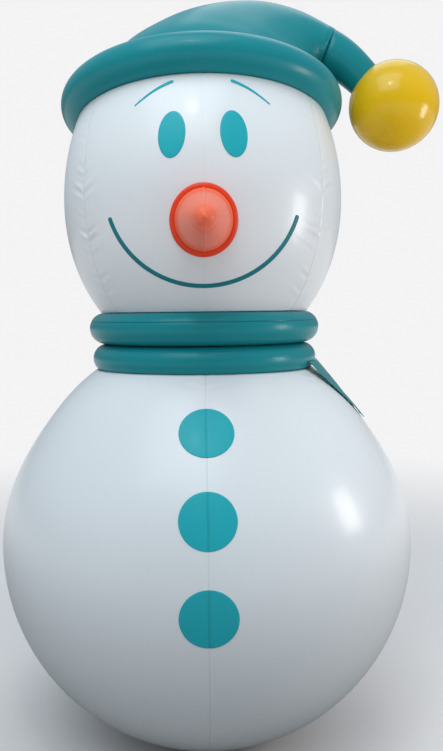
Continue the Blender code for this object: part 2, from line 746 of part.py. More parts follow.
def build_tie_loop(place, seat):
    """Webbing folded round the ring's bar, drawn as its side view and extruded across."""
    centre = LOOP_BASE + LOOP_OUTER
    outline = [(LOOP_LENGTH, LOOP_BASE), (0.0, LOOP_BASE)]
    for degrees in range(-120, -271, -30):
        angle = math.radians(degrees)
        outline.append((LOOP_OUTER * math.cos(angle), centre + LOOP_OUTER * math.sin(angle)))
    outline += [(0.010, centre + 0.003), (0.020, LOOP_BASE + 0.003), (LOOP_LENGTH, LOOP_BASE + 0.0024)]
    hole = []
    for i in range(10):
        angle = 2 * math.pi * i / 10
        hole.append((LOOP_INNER * math.cos(angle), centre + LOOP_INNER * math.sin(angle)))
    curve = bpy.data.curves.new("tie_loop_" + place, "CURVE")
    curve.dimensions = "2D"
    curve.fill_mode = "BOTH"
    curve.extrude = LOOP_WIDTH / 2
    for points in (outline, hole):
        spline = curve.splines.new("POLY")
        spline.points.add(len(points) - 1)
        spline.use_cyclic_u = True
        for point, (y, z) in zip(spline.points, points):
            point.co = (y, z, 0.0, 1.0)
    loop = add_object("tie_loop_" + place, curve, "webbing", seat)
    loop.matrix_local = Matrix(((0, 0, 1, 0), (1, 0, 0, 0), (0, 1, 0, 0), (0, 0, 0, 1)))


def build_tie_ring(place, hinge):
    """A D-ring whose straight bar lies on the hinge's X axis and whose bow hangs below it."""
    curve = bpy.data.curves.new("tie_ring_" + place, "CURVE")
    curve.dimensions = "3D"
    curve.bevel_depth = WIRE_R
    curve.bevel_resolution = 2
    points = [(-BAR_HALF, 0.0), (0.0, 0.0), (BAR_HALF, 0.0)]
    steps = 8
    for i in range(1, steps):
        angle = -math.pi * i / steps
        points.append((BAR_HALF * math.cos(angle), -LEG + BAR_HALF * math.sin(angle)))
    spline = curve.splines.new("POLY")
    spline.points.add(len(points) - 1)
    spline.use_cyclic_u = True
    for point, (x, y) in zip(spline.points, points):
        point.co = (x, y, 0.0, 1.0)
    add_object("tie_ring_" + place, curve, "steel", hinge)


def build():
    build_base_pad()
    build_body()
    for name, latitude in BUTTON_LATITUDES.items():
        build_button(name, latitude)
    build_ring("scarf_ring_lower", LOWER_RING, "teal_vinyl")
    build_ring("scarf_ring_upper", UPPER_RING, "teal_vinyl")
    for name, place in SCARF_TAILS.items():
        build_scarf_tail(name, **place)
    build_head()
    build_nose()
    build_eye("eye_right", 1)
    build_eye("eye_left", -1)
    build_mouth()
    build_brow("brow_right", 1)
    build_brow("brow_left", -1)
    build_hat()
    build_air_valve()
    build_ballast()
    for place, azimuth in TIE_DOWNS.items():
        build_tie_down(place, azimuth)


clear_scene()
PARTS = add_collection("inflatable_snowman")
CUTTERS = add_collection("cutters")
HAT_CENTRE = lean(Vector((0.0, 0.0, BRIM["z"])))
HAT = add_empty("hat_frame", Matrix.Translation(HAT_CENTRE) @ Matrix.Rotation(-HAT_TILT, 4, "X"))
build()
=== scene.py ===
"""Looks of the inflatable yard snowman: smooth welded PVC skins, patches and fittings.

Metres, +Z up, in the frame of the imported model. Azimuths are counted from the front (-Y)
towards +X, and latitudes from the body's widest ring. Grids of points run down each skin and
turn with the azimuth, so faces look out.
"""

import math

import bmesh
import bpy
import numpy as np
from mathutils import Matrix, Vector


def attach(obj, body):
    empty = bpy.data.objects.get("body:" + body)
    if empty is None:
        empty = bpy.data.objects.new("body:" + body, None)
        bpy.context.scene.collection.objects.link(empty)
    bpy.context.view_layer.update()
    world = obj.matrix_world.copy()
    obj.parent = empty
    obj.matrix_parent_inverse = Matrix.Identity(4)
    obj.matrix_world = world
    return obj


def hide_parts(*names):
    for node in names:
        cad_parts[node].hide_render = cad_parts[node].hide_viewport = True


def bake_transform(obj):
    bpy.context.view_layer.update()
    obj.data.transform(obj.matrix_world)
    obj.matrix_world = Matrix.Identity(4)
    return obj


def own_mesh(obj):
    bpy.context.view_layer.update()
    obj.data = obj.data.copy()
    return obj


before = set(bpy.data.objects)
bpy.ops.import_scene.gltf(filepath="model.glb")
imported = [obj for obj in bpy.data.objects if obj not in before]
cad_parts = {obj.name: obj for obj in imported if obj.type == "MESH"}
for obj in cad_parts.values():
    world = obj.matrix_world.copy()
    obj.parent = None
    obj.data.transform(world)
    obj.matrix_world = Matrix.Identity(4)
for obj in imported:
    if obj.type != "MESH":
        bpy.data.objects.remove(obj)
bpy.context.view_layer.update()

FULL_TURN = 2 * math.pi

# Driving dimensions, as in the CAD
GAP = 0.0003
CLEARANCE = 0.0020
BODY_R = 0.750
BODY_BOTTOM = 0.0023                    # above the base pad
BASE_HALF_ANGLE = math.radians(15)      # the flattened base, seen from the body's centre
BODY_Z = BODY_BOTTOM + BODY_R * math.cos(BASE_HALF_ANGLE)
SHOULDER_DIP = 0.021                    # the film is a little flatter over the shoulders
SHOULDER_LATITUDE = math.radians(35)
SHOULDER_SPREAD = math.radians(19)

LOWER_RING = {"radius": 0.3575, "tube": 0.0520, "z": 1.3980}
UPPER_RING = {"radius": 0.3644, "tube": 0.0560, "z": 1.5070}
NECK_R = LOWER_RING["radius"] - LOWER_RING["tube"] - CLEARANCE
NECK_JOINT_Z = 1.4500

HEAD_R = 0.501
HEAD_WIDEST_Z = 1.950
HEAD_RISE = 0.675
HEAD_DROP = 0.589

HAT_TILT = math.radians(9.45)
LEAN_PIVOT_Z = 1.997
LEAN_START_Z = 1.900
LEAN_FULL_Z = 2.200
BRIM = {"radius": 0.446, "tube": 0.066, "z": 2.301}
HAT_LINE_R = BRIM["radius"] - BRIM["tube"] - CLEARANCE

SEAMS = [FULL_TURN * i / 6 for i in range(6)]
HEAD_SEAMS = [FULL_TURN * i / 7 for i in range(7)]
SEAM_OFFSETS = [0.0, 0.0015, 0.003, 0.005, 0.008, 0.012, 0.018, 0.026, 0.036, 0.048]


# Meshes

def grid_object(name, points, material, wrap=True, fan_last=False, seam=None):
    """A smooth skin through a grid of points, rows by columns, closed round and optionally at its end."""
    rows, columns = points.shape[:2]
    index = np.arange(rows * columns).reshape(rows, columns)
    if wrap:
        index = np.concatenate([index, index[:, :1]], axis=1)
    quads = np.stack([index[:-1, :-1], index[1:, :-1], index[1:, 1:], index[:-1, 1:]], axis=-1)
    faces = quads.reshape(-1, 4).tolist()
    vertices = points.reshape(-1, 3).tolist()
    if fan_last:
        centre = points[-1].mean(axis=0).tolist()
        vertices.append(centre)
        last = len(vertices) - 1
        faces += [(a, last, b) for a, b in zip(index[-1, :-1].tolist(), index[-1, 1:].tolist())]
    mesh = bpy.data.meshes.new(name)
    mesh.from_pydata(vertices, [], faces)
    mesh.shade_smooth()
    mesh.materials.append(material)
    if seam is not None:
        values = np.zeros(len(vertices), np.float32)
        values[:rows * columns] = np.broadcast_to(seam, (rows, columns)).ravel()
        mesh.attributes.new("seam", "FLOAT", "POINT").data.foreach_set("value", values)
    obj = bpy.data.objects.new(name, mesh)
    bpy.context.scene.collection.objects.link(obj)
    return obj


def merge_close(mesh, distance=0.00001):
    """Join points that lie together, as where a skin closes on itself."""
    shape = bmesh.new()
    shape.from_mesh(mesh)
    bmesh.ops.remove_doubles(shape, verts=shape.verts, dist=distance)
    shape.to_mesh(mesh)
    shape.free()


def outward(profile):
    """Unit normals of an (r, z) profile that runs down its outer side."""
    slope = np.gradient(profile, axis=0)
    normal = np.stack([-slope[:, 1], slope[:, 0]], axis=1)
    return normal / np.linalg.norm(normal, axis=1, keepdims=True)


def revolve(profile, azimuths, relief=None):
    """Grid of a turned skin; relief(azimuth, radius, height) moves it out along its normals."""
    profile = np.asarray(profile, float)
    normal = outward(profile)
    azimuth = np.asarray(azimuths, float)[None, :]
    radius, height = profile[:, :1], profile[:, 1:]
    lift = relief(azimuth, radius, height) if relief else 0.0
    reach = radius + normal[:, :1] * lift
    level = height + normal[:, 1:] * lift + 0.0 * azimuth
    return np.stack([reach * np.sin(azimuth), -reach * np.cos(azimuth), level], axis=-1)


def smooth_line(points, steps):
    """A smooth curve through the given points, with this many steps between two of them."""
    points = np.asarray(points, float)
    padded = np.concatenate([2 * points[:1] - points[1:2], points, 2 * points[-1:] - points[-2:-1]])
    share = np.arange(steps)[:, None] / steps
    pieces = []
    for i in range(len(points) - 1):
        a, b, c, d = padded[i:i + 4]
        pieces.append(0.5 * (2 * b + (c - a) * share + (2 * a - 5 * b + 4 * c - d) * share ** 2
                             + (3 * b - a - 3 * c + d) * share ** 3))
    return np.concatenate(pieces + [points[-1:]])


def even_line(points, count):
    """The same line with its points at even distances."""
    points = np.asarray(points, float)
    along = np.concatenate([[0], np.cumsum(np.linalg.norm(np.diff(points, axis=0), axis=1))])
    wanted = np.linspace(0, along[-1], count)
    return np.stack([np.interp(wanted, along, points[:, k]) for k in range(points.shape[1])], axis=1)


def gore_azimuths(radius, plain=18, seams=SEAMS):
    """Azimuths round a skin of gores, closer together beside each seam."""
    half = math.pi / len(seams)
    beside = [offset / radius for offset in SEAM_OFFSETS]
    between = np.linspace(beside[-1], half, plain // 2 + 1)[1:]
    side = beside + list(between)
    values = sorted({round(seam + sign * value, 7) for seam in seams for value in side for sign in (-1, 1)})
    start = values[0]
    return [value for value in values if value < start + FULL_TURN - 1e-5]


def seam_distance(azimuth, radius, seams=SEAMS):
    """Distance along the skin to the nearest gore seam."""
    nearest = np.full(np.broadcast(azimuth, radius).shape, 1e9)
    for seam in seams:
        turn = (azimuth - seam + math.pi) % FULL_TURN - math.pi
        nearest = np.minimum(nearest, np.abs(turn) * radius)
    return nearest


def weld(distance, depth=0.0013, width=0.0028):
    """Relief of a welded seam: a narrow groove in a wide shallow valley."""
    return -depth * np.exp(-(distance / width) ** 2) - 0.6 * depth * np.exp(-distance / 0.022)


def seam_line(distance, strength=0.6, width=0.0022):
    """How strongly the weld's line darkens the film."""
    return strength * np.exp(-(distance / width) ** 2)


def puckers(distance, along, spread, amount):
    """Small slanting wrinkles that gather beside a seam."""
    slant = along - 0.45 * distance
    wave = np.sin(slant * FULL_TURN / 0.041) + 0.7 * np.sin(slant * FULL_TURN / 0.026 + 1.3)
    patchy = 0.55 + 0.45 * np.sin(along * FULL_TURN / 0.171 + 0.6)
    return amount * patchy * wave * (distance / spread) * np.exp(1 - distance / spread)


def ring_arc(ring, clearance, first, last, steps):
    """Profile points around a ring's tube, from one angle to another in degrees."""
    angles = np.radians(np.linspace(first, last, steps + 1))
    reach = ring["tube"] + clearance
    return [(ring["radius"] + reach * math.cos(a), ring["z"] + reach * math.sin(a)) for a in angles]


def angle_where(ring, start, step, inside):
    """The angle round a ring's tube at which its wrapped profile leaves a chamber's shape."""
    angle = start
    while inside(*ring_arc(ring, CLEARANCE, angle, angle, 0)[0]):
        angle += step
    return angle


# Materials

def node_material(name, colour, roughness, coat=0.0, metallic=0.0, bump=None, mottle=0.06,
                  mottle_size=0.35, gloss_change=0.06, sheen=0.0, grime=None, specular=0.5):
    """A Principled material whose colour, roughness and relief vary over the surface.

    bump is (size of a grain, strength); grime is (colour, height up to which it fades away).
    """
    material = bpy.data.materials.new(name)
    material.use_nodes = True
    tree = material.node_tree
    shader = tree.nodes["Principled BSDF"]
    shader.inputs["Metallic"].default_value = metallic
    shader.inputs["Coat Weight"].default_value = coat
    shader.inputs["Coat Roughness"].default_value = 0.12
    shader.inputs["Sheen Weight"].default_value = sheen
    shader.inputs["Specular IOR Level"].default_value = specular
    place = tree.nodes.new("ShaderNodeTexCoord")

    def noise(size, detail=2.0):
        node = tree.nodes.new("ShaderNodeTexNoise")
        node.inputs["Scale"].default_value = 1.0 / size
        node.inputs["Detail"].default_value = detail
        tree.links.new(place.outputs["Object"], node.inputs["Vector"])
        return node.outputs["Fac"]

    def spread(value, low, high, start=0.15, end=0.85):
        node = tree.nodes.new("ShaderNodeMapRange")
        node.inputs["From Min"].default_value = start
        node.inputs["From Max"].default_value = end
        node.inputs["To Min"].default_value = low
        node.inputs["To Max"].default_value = high
        tree.links.new(value, node.inputs["Value"])
        return node.outputs["Result"]

    def mix(amount, first, second):
        node = tree.nodes.new("ShaderNodeMix")
        node.data_type = "RGBA"
        tree.links.new(amount, node.inputs[0])
        for socket, value in ((node.inputs[6], first), (node.inputs[7], second)):
            if isinstance(value, tuple):
                socket.default_value = (*value, 1.0)
            else:
                tree.links.new(value, socket)
        return node.outputs[2]

    darker = tuple(c * (1.0 - mottle) for c in colour)
    lighter = tuple(min(1.0, c * (1.0 + mottle)) for c in colour)
    result = mix(spread(noise(mottle_size, 4.0), 0.0, 1.0), darker, lighter)
    if grime:
        split = tree.nodes.new("ShaderNodeSeparateXYZ")
        tree.links.new(place.outputs["Object"], split.inputs["Vector"])
        low = spread(split.outputs["Z"], 1.0, 0.0, 0.0, grime[1])
        patchy = tree.nodes.new("ShaderNodeMath")
        patchy.operation = "MULTIPLY"
        tree.links.new(low, patchy.inputs[0])
        tree.links.new(spread(noise(0.05, 6.0), 0.1, 0.7), patchy.inputs[1])
        result = mix(patchy.outputs[0], result, grime[0])
    weld_line = tree.nodes.new("ShaderNodeAttribute")
    weld_line.attribute_name = "seam"
    result = mix(weld_line.outputs["Fac"], result, tuple(c * 0.45 for c in colour))
    tree.links.new(result, shader.inputs["Base Color"])
    rough = spread(noise(0.16, 3.0), roughness - gloss_change / 2, roughness + gloss_change / 2)
    tree.links.new(rough, shader.inputs["Roughness"])
    if bump:
        relief = tree.nodes.new("ShaderNodeBump")
        relief.inputs["Strength"].default_value = bump[1]
        relief.inputs["Distance"].default_value = bump[0] * 0.3
        tree.links.new(noise(bump[0], 3.0), relief.inputs["Height"])
        tree.links.new(relief.outputs["Normal"], shader.inputs["Normal"])
    return material


def webbing_material(name, colour, pitch):
    """Woven tape: two crossing waves raise its threads."""
    material = node_material(name, colour, 0.8, mottle=0.25, mottle_size=0.004, sheen=0.3)
    tree = material.node_tree
    shader = tree.nodes["Principled BSDF"]
    place = tree.nodes.new("ShaderNodeTexCoord")
    height = tree.nodes.new("ShaderNodeMath")
    height.operation = "ADD"
    for i, direction in enumerate(("Z", "DIAGONAL")):
        wave = tree.nodes.new("ShaderNodeTexWave")
        wave.bands_direction = direction
        wave.inputs["Scale"].default_value = 0.3 / pitch
        wave.inputs["Distortion"].default_value = 0.6
        tree.links.new(place.outputs["Object"], wave.inputs["Vector"])
        tree.links.new(wave.outputs["Fac"], height.inputs[i])
    relief = tree.nodes.new("ShaderNodeBump")
    relief.inputs["Strength"].default_value = 0.6
    relief.inputs["Distance"].default_value = 0.0004
    tree.links.new(height.outputs[0], relief.inputs["Height"])
    tree.links.new(relief.outputs["Normal"], shader.inputs["Normal"])
    return material


DUST = (0.42, 0.38, 0.31)
WHITE = node_material("white_pvc", (0.78, 0.80, 0.82), 0.32, coat=0.16, bump=(0.006, 0.05),
                      mottle=0.012, gloss_change=0.03, grime=(DUST, 0.10), specular=0.4)
TEAL = node_material("teal_pvc", (0.008, 0.235, 0.268), 0.30, coat=0.05, bump=(0.005, 0.06), mottle=0.05,
                     gloss_change=0.03, specular=0.18)
PRINT = node_material("teal_print", (0.016, 0.400, 0.460), 0.38, coat=0.03, bump=(0.004, 0.05), mottle=0.04,
                      gloss_change=0.03, specular=0.18)
MOUTH_INK = node_material("mouth_ink", (0.010, 0.185, 0.215), 0.40, bump=(0.004, 0.05), mottle=0.06,
                          gloss_change=0.03, specular=0.18)
YELLOW = node_material("yellow_pvc", (0.78, 0.47, 0.003), 0.20, coat=0.20, bump=(0.005, 0.06), mottle=0.05,
                       gloss_change=0.03, specular=0.28)
# The nose is one orange vinyl: the cone's lighter salmon tone is painted sheen from grazing reflections, and
# the rim's darker red is painted shade on its sideways-facing flange.
NOSE_ORANGE_PAINTED_SHEEN = node_material("nose_pvc_painted_sheen", (0.96, 0.170, 0.082), 0.38, coat=0.04, bump=(0.004, 0.08), mottle=0.06,
                       gloss_change=0.03, specular=0.25)
# Darker red copy of the nose's orange vinyl: painted shade for the rim, which faces sideways.
NOSE_RIM_PAINTED_SHADE = node_material("nose_rim_pvc_painted_shade", (0.82, 0.060, 0.016), 0.36, coat=0.06, bump=(0.004, 0.08),
                           gloss_change=0.03, specular=0.2)
WHITE_PLASTIC = node_material("white_moulding", (0.75, 0.75, 0.73), 0.42, bump=(0.0012, 0.15), mottle=0.03,
                              mottle_size=0.02)
GREY_RUBBER = node_material("grey_rubber", (0.24, 0.25, 0.26), 0.62, bump=(0.002, 0.4), mottle=0.12,
                            mottle_size=0.03)
BLUE_PVC = node_material("ballast_pvc", (0.08, 0.14, 0.23), 0.42, coat=0.1, bump=(0.01, 0.3), mottle=0.10)
STEEL = node_material("bright_steel", (0.62, 0.63, 0.65), 0.24, metallic=1.0, bump=(0.0015, 0.15),
                      mottle=0.06, mottle_size=0.01)
WEBBING = webbing_material("black_webbing", (0.030, 0.031, 0.036), 0.0022)


def dress(piece, body, slot, *nodes):
    """Put a finished piece on its body, in place of its CAD nodes."""
    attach(piece, body)
    if nodes:
        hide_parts(*nodes)


# Body

def body_radius(latitude):
    """The round body, slightly flatter over its shoulders."""
    bump = np.exp(-((latitude - SHOULDER_LATITUDE) / SHOULDER_SPREAD) ** 2)
    return BODY_R - SHOULDER_DIP * bump


def body_frame(azimuth, latitude):
    """A frame on the round surface in degrees: X level, Y up along the surface, Z outward."""
    a, b = math.radians(azimuth), math.radians(latitude)
    out = Vector((math.sin(a) * math.cos(b), -math.cos(a) * math.cos(b), math.sin(b)))
    up = Vector((-math.sin(a) * math.sin(b), math.cos(a) * math.sin(b), math.cos(b)))
    matrix = Matrix((up.cross(out), up, out)).transposed().to_4x4()
    matrix.translation = Vector((0.0, 0.0, BODY_Z)) + out * BODY_R
    return matrix


AIR_VALVE_FRAME = body_frame(180.0, -28.0)
BALLAST_FRAME = body_frame(180.0, -58.0)


def inside_body(radius, height):
    """Whether a point of a profile lies in the round body."""
    angle = math.atan2(height - BODY_Z, radius)
    return math.hypot(radius, height - BODY_Z) < body_radius(angle)


def body_relief(azimuth, radius, height):
    """Gore seams, with light gathers towards the neck and the base."""
    distance = seam_distance(azimuth, radius)
    arc = BODY_R * np.arctan2(height - BODY_Z, radius)
    low = np.exp(-((height - 0.22) / 0.16) ** 2)
    high = np.exp(-((height - 1.33) / 0.07) ** 2)
    return weld(distance, 0.0005, 0.0022) + puckers(distance, arc, 0.030, 0.0007) * (low + 1.2 * high)


def cut_round(obj, centre, radius):
    """Leave out the faces round a fitting's hole; its flange covers their edge."""
    shape = bmesh.new()
    shape.from_mesh(obj.data)
    found = [face for face in shape.faces if (face.calc_center_median() - centre).length < radius]
    bmesh.ops.delete(shape, geom=found, context="FACES")
    shape.to_mesh(obj.data)
    shape.free()


def build_body():
    """The body's skin from the neck, round the lower scarf ring and down to the flat base."""
    leave = angle_where(LOWER_RING, 270.0, 0.5, inside_body)
    profile = [(NECK_R, NECK_JOINT_Z - GAP)]
    profile += ring_arc(LOWER_RING, CLEARANCE, 180.0, leave, 24)
    start = math.atan2(profile[-1][1] - BODY_Z, profile[-1][0])
    for latitude in np.linspace(start, BASE_HALF_ANGLE - math.pi / 2, 250)[1:]:
        reach = body_radius(latitude)
        profile.append((reach * math.cos(latitude), BODY_Z + reach * math.sin(latitude)))
    foot = profile[-1]
    profile += [(foot[0] * share, foot[1]) for share in (0.97, 0.8, 0.5, 0.2)]
    azimuths = gore_azimuths(BODY_R)
    points = revolve(profile, azimuths, body_relief)
    points[-5:, :, 2] = foot[1]
    distance = seam_distance(np.array(azimuths)[None, :], np.array(profile)[:, :1])
    front = np.cos(np.array(azimuths)) > 0.9
    line = seam_line(distance, np.where(front, 0.22, 0.10), 0.0016)
    body = grid_object("body_skin", points, WHITE, fan_last=True, seam=line)
    cut_round(body, AIR_VALVE_FRAME.translation, 0.024)
    cut_round(body, BALLAST_FRAME.translation, 0.019)
    dress(body, "figure", "white_vinyl", "body_envelope")


BUTTON_HALF_ANGLE = math.radians(6.7)   # seen from the body's centre
BUTTON_LATITUDES = {"button_top": 40.0, "button_middle": 18.4, "button_bottom": -3.2}


def build_button(name, latitude):
    """A round patch on the body's front that dips with the seam it is welded across."""
    turns = np.linspace(0, FULL_TURN, 97)[:-1]
    shares = [1.0, 1.0, 0.985, 0.96, 0.9, 0.8, 0.65, 0.5, 0.35, 0.2, 0.08, 0.03]
    lifts = [0.0, 0.0011, 0.0016, 0.0018] + [0.0018] * 8
    tilt = Matrix.Rotation(math.radians(90 - latitude), 3, "X")
    rows = []
    for share, lift in zip(shares, lifts):
        row = []
        for turn in turns:
            a = BUTTON_HALF_ANGLE * share
            out = tilt @ Vector((math.sin(a) * math.sin(turn), -math.sin(a) * math.cos(turn), math.cos(a)))
            level = math.asin(out.z)
            radius = body_radius(level)
            azimuth = math.atan2(out.x, -out.y)
            dip = weld(abs(azimuth) * radius * math.cos(level), 0.0009)
            row.append(Vector((0.0, 0.0, BODY_Z)) + out * (radius + lift + float(dip)))
        rows.append(row)
    points = np.array(rows)[:, ::-1]
    line = seam_line(np.abs(points[..., 0]), 0.35, 0.003)
    patch = grid_object(name + "_patch", points, PRINT, fan_last=True, seam=line)
    dress(patch, "figure", "teal_vinyl", name)


# Scarf

def build_tube_ring(name, ring, seam_angle, material, place=None):
    """A bent tube with one visible weld round it and gathers on its inner side."""
    around = np.linspace(0, FULL_TURN, 289)[:-1]
    seam = math.radians(seam_angle)
    offsets = np.array([0, 0.0012, 0.0025, 0.004, 0.007, 0.012]) / ring["tube"]
    plain = np.linspace(offsets[-1], math.pi, 30)[1:]
    side = np.concatenate([offsets, plain])
    angles = np.concatenate([seam + side, seam + FULL_TURN - side[1:-1][::-1]])
    turn = angles[:, None]
    distance = np.abs((turn - seam + math.pi) % FULL_TURN - math.pi) * ring["tube"]
    inner = np.clip(-np.cos(turn), 0, 1) ** 2
    gather = 0.0016 * inner * np.sin(around[None, :] * 44 + 3 * np.sin(around[None, :] * 5))
    reach = ring["tube"] - 0.0012 * np.exp(-(distance / 0.0022) ** 2) + gather
    radius = ring["radius"] + reach * np.cos(turn)
    height = ring["z"] + reach * np.sin(turn)
    points = np.stack([radius * np.sin(around), -radius * np.cos(around), height], axis=-1)
    points = np.concatenate([points, points[:1]])[::-1]
    line = seam_line(distance, 0.8)
    line = np.concatenate([line, line[:1]])[::-1]
    obj = grid_object(name + "_skin", points, material, seam=line)
    merge_close(obj.data)
    if place is not None:
        obj.data.transform(place)
    dress(obj, "figure", "teal_vinyl", name)


STRIP_TOP = {"radius": 0.4120, "z": 1.3860}
STRIP_WIDTH = 0.100
STRIP_SLANT = math.radians(18)          # how far a strip turns to the rear on its way down
STRIP_THICKNESS = 0.0012
STRIPS = {
    "scarf_tail_front": {"azimuth": 68.0, "end": 52.5, "stand": 0.0050},
    "scarf_tail_rear": {"azimuth": 85.0, "end": 56.0, "stand": 0.0050},
}


def build_strip(name, azimuth, end, stand):
    """A loose flat strip of film over the shoulder, with a slightly wavy free end."""
    turn = math.radians(azimuth)
    rise = STRIP_TOP["z"] - BODY_Z
    first = math.atan2(STRIP_TOP["radius"], rise)
    lift = math.hypot(STRIP_TOP["radius"], rise) - body_radius(math.pi / 2 - first)
    shares = np.linspace(0, 1, 60)
    across = np.linspace(-0.5, 0.5, 17)
    found = []
    for share in shares:
        polar = first + (math.radians(end) - first) * share
        fall = min(1.0, 1.6 * share)
        reach = body_radius(math.pi / 2 - polar) + lift + (stand - lift) * fall * (2 - fall)
        for k in across:
            side = turn + STRIP_SLANT * share + k * STRIP_WIDTH / (reach * math.sin(polar))
            ripple = 0.0022 * share ** 2 * math.sin(k * 9.0 + share * 5.0)
            level = Vector((math.sin(side), -math.cos(side), 0.0)) * math.sin(polar)
            out = level + Vector((0.0, 0.0, math.cos(polar)))
            found.append(out * (reach + abs(ripple)) + Vector((0.0, 0.0, BODY_Z)))
    points = np.array(found).reshape(len(shares), len(across), 3)
    strip = grid_object(name + "_strip", points, TEAL, wrap=False)
    film = strip.modifiers.new("Film", "SOLIDIFY")
    film.thickness = STRIP_THICKNESS
    film.offset = 1.0
    apply_modifiers(strip)
    dress(strip, name, "teal_vinyl", name)


def apply_modifiers(obj):
    """Keep the object's evaluated mesh, without its modifiers."""
    bpy.context.view_layer.update()
    evaluated = obj.evaluated_get(bpy.context.evaluated_depsgraph_get())
    mesh = bpy.data.meshes.new_from_object(evaluated)
    obj.modifiers.clear()
    obj.data = mesh
    mesh.shade_smooth()


# Head and face

def head_radius(height):
    reach = np.where(height > HEAD_WIDEST_Z, HEAD_RISE, HEAD_DROP)
    return HEAD_R * np.sqrt(np.maximum(0.0, 1.0 - ((height - HEAD_WIDEST_Z) / reach) ** 2))


def inside_head(radius, height):
    return radius < head_radius(height)


def lean(points):
    """Tip points of the upright head back, from nothing at the cheeks to the hat's tilt at the hat."""
    points = np.asarray(points, float)
    share = np.clip((points[..., 2] - LEAN_START_Z) / (LEAN_FULL_Z - LEAN_START_Z), 0, 1)
    angle = -HAT_TILT * share * share * (3 - 2 * share)
    y, z = points[..., 1], points[..., 2] - LEAN_PIVOT_Z
    cosine, sine = np.cos(angle), np.sin(angle)
    return np.stack([points[..., 0], cosine * y - sine * z, sine * y + cosine * z + LEAN_PIVOT_Z], axis=-1)


def face_points(x, z, lift=0.0):
    """Points of the leaned head's front with these x and z, pushed out by a lift."""
    x, z = np.broadcast_arrays(np.asarray(x, float), np.asarray(z, float))
    upright = z.copy()
    for _ in range(40):
        radius = head_radius(upright)
        front = np.stack([x, -np.sqrt(radius ** 2 - x ** 2), upright], axis=-1)
        upright = upright + 0.7 * (z - lean(front)[..., 2])
    step = 0.001
    slope = (head_radius(upright + step) - head_radius(upright - step)) / (2 * step)
    normal = np.stack([front[..., 0], front[..., 1], -slope * radius], axis=-1)
    normal /= np.linalg.norm(normal, axis=-1, keepdims=True)
    return lean(front + normal * np.asarray(lift)[..., None])


CHEEK_Z = 1.86
FRONT_SEAM_SINE = 0.3                   # skin with a smaller sine of azimuth holds the front seam


def head_relief(azimuth, radius, height):
    """Gore seams; the side ones gather strongly at cheek height."""
    distance = seam_distance(azimuth, radius, HEAD_SEAMS)
    ahead = np.cos(azimuth) > 0.2
    aside = np.abs(np.sin(azimuth)) > FRONT_SEAM_SINE
    cheek = np.exp(-((height - CHEEK_Z) / 0.17) ** 2)
    gathered = np.where(ahead & aside, 0.0017, 0.0011) * cheek + 0.0005
    gathered = np.where(aside, gathered, 0.0)
    depth = np.where(aside, 0.0011, 0.0002)
    return weld(distance, depth) + puckers(distance, height * 1.05, 0.024, 1.0) * gathered


def build_head():
    """The head's skin from under the hat, round the brim and down to the neck."""
    under_brim = angle_where(BRIM, 200.0, 0.5, inside_head)
    over_ring = angle_where(UPPER_RING, 150.0, -0.5, inside_head)
    profile = [(HAT_LINE_R, BRIM["z"] - GAP)]
    profile += ring_arc(BRIM, CLEARANCE, 180.0, under_brim, 18)[1:]
    ring_part = ring_arc(UPPER_RING, CLEARANCE, over_ring, 180.0, 18)
    for height in np.linspace(profile[-1][1], ring_part[0][1], 190)[1:-1]:
        profile.append((float(head_radius(height)), height))
    profile += ring_part
    profile += [(NECK_R, UPPER_RING["z"] - 0.02), (NECK_R, NECK_JOINT_Z + GAP)]
    azimuths = np.array(gore_azimuths(HEAD_R, 18, HEAD_SEAMS))
    points = lean(revolve(profile, azimuths, head_relief))
    distance = seam_distance(azimuths[None, :], np.array(profile)[:, :1], HEAD_SEAMS)
    visible = np.where(np.abs(np.sin(azimuths)) > FRONT_SEAM_SINE, 0.22, 0.05)
    head = grid_object("head_skin", points, WHITE, seam=seam_line(distance, visible))
    dress(head, "figure", "white_vinyl", "head_envelope")


NOSE_Z = 1.843
NOSE_WIDTH = 0.105
NOSE_HEIGHT = 0.1105
NOSE_LENGTH = 0.330
NOSE_DROOP = 0.028
NOSE_OUTLINE = [
    (0.86, 0.000), (0.855, 0.030), (0.84, 0.075), (0.80, 0.150), (0.72, 0.300), (0.60, 0.500), (0.48, 0.680),
    (0.41, 0.780), (0.36, 0.840), (0.31, 0.900), (0.24, 0.945), (0.16, 0.970), (0.085, 0.982), (0.065, 0.988),
    (0.060, 1.000), (0.030, 1.008),
]
NOSE_FOLD = 0.845                       # a small crease under the knob at the tip


def nose_ring(share, along, turns, relief=0.0):
    """One section of the nose: it follows the head at its base and is flat further out."""
    across, rise = -NOSE_WIDTH * np.cos(turns), NOSE_HEIGHT * np.sin(turns)
    x = across * (share + relief)
    z = NOSE_Z + rise * (share + relief)
    seat = face_points(across * share, NOSE_Z + rise * share, 0.001)
    root = face_points(0.0, NOSE_Z)[..., 1]
    front = root - NOSE_LENGTH * along
    blend = min(1.0, along / 0.30)
    y = seat[..., 1] * (1 - blend) + front * blend - 0.012 * (1 - blend) * min(1.0, along / 0.03)
    return np.stack([x, y, z - NOSE_DROOP * along], axis=-1)


